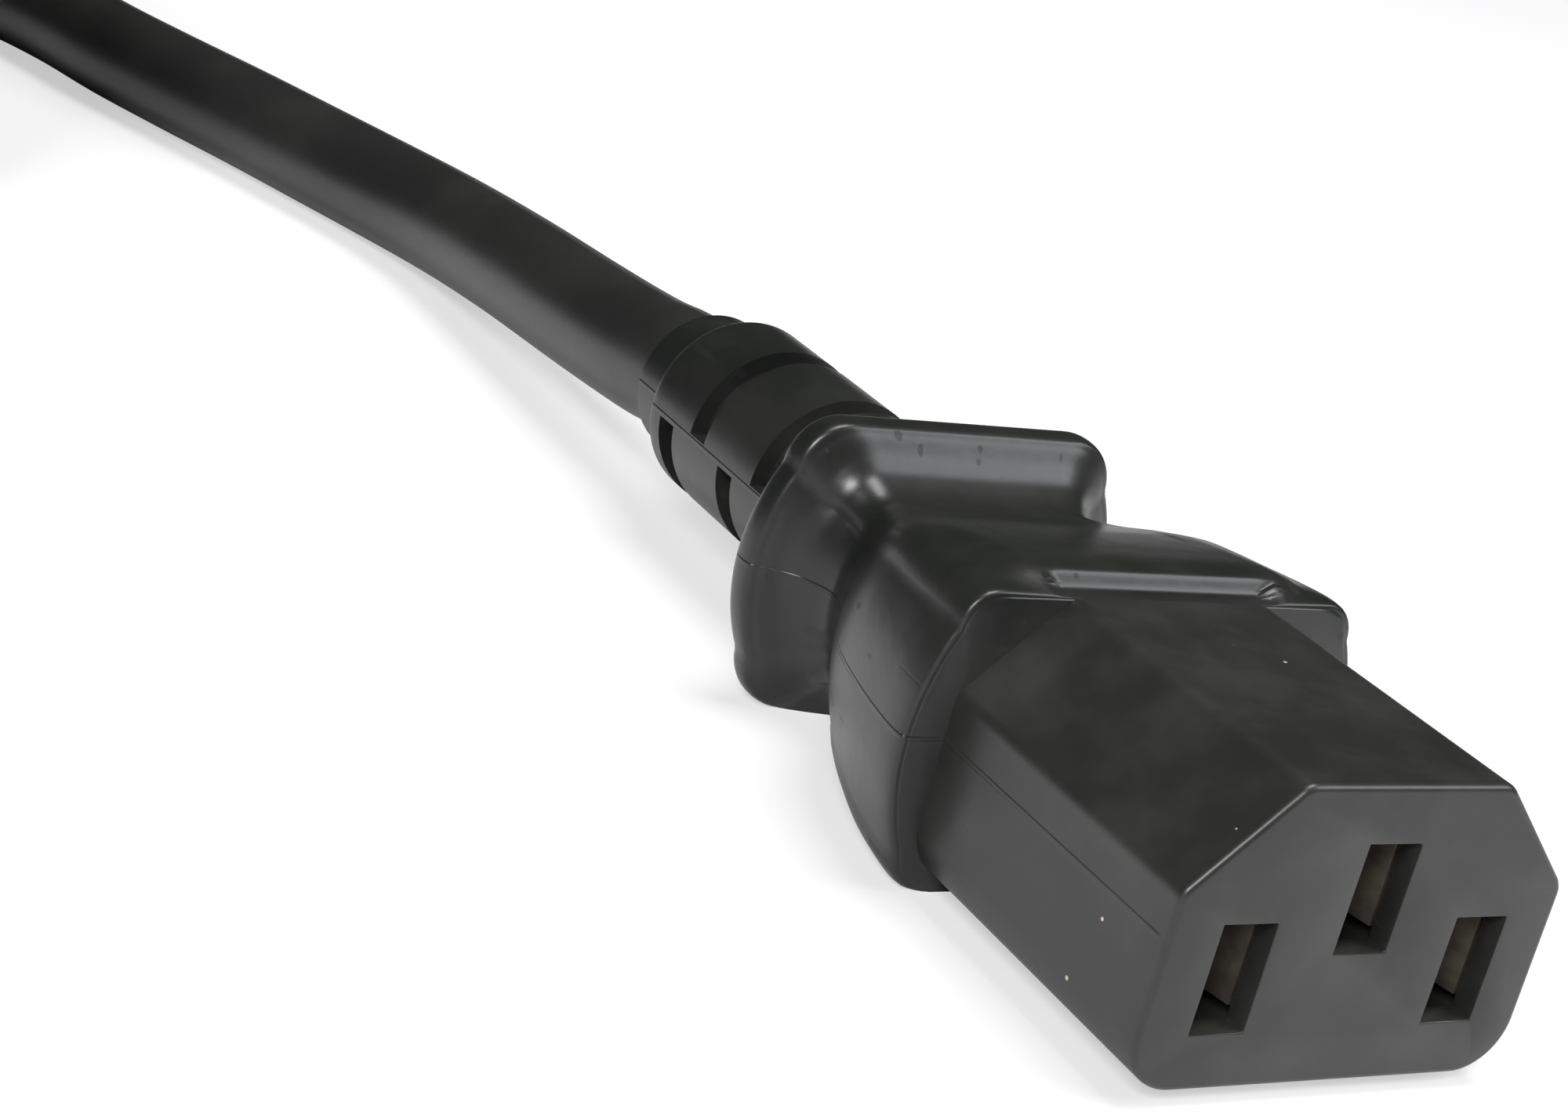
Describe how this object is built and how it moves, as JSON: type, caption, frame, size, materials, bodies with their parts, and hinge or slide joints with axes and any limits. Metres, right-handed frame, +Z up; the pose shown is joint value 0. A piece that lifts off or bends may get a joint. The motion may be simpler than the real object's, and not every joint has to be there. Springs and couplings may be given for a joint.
{
  "type": "c13 power connector",
  "caption": "Moulded black female cord connector with chamfered nose, thumb waist, wings and slotted strain relief, on a coiled cord with an inlet-type plug.",
  "frame": {"origin": "centre of the mating face of the connector's nose", "axes": "+Y from the mating face towards the cord, +Z up with the earth slot on top, +X completes the right-handed frame; the part lies on its underside and its cord at z = -8.7 mm"},
  "size_m": [0.1442, 0.2, 0.0543],
  "materials": {
    "pvc": "glossy soft PVC",
    "hard_plastic": "glossy",
    "cap_plastic": "matte",
    "jacket": "satin PVC",
    "tie": "matte",
    "contact_brass": "bright sheet",
    "pin_metal": "nickel plated",
    "copper": "bare copper",
    "core_brown": "matte",
    "core_blue": "matte",
    "core_green_yellow": "matte"
  },
  "bodies": {
    "root": {"overmould": "pvc", "contact_block": "hard_plastic", "cavity_cap": "cap_plastic", "contact_line": "contact_brass", "contact_neutral": "contact_brass", "contact_earth": "contact_brass", "core_line": "core_brown", "core_neutral": "core_blue", "core_earth": "core_green_yellow", "strands_line": "copper", "strands_neutral": "copper", "strands_earth": "copper", "cord_lead": "jacket", "cord_coil": "jacket", "cord_tail": "jacket", "coil_tie_1": "tie", "coil_tie_2": "tie", "plug_shell": "pvc", "plug_carrier": "hard_plastic", "plug_pin_line": "pin_metal", "plug_pin_neutral": "pin_metal", "plug_pin_earth": "pin_metal", "plug_core_line": "core_brown", "plug_core_neutral": "core_blue", "plug_core_earth": "core_green_yellow", "plug_strands_line": "copper", "plug_strands_neutral": "copper", "plug_strands_earth": "copper"}
  },
  "joints": []
}
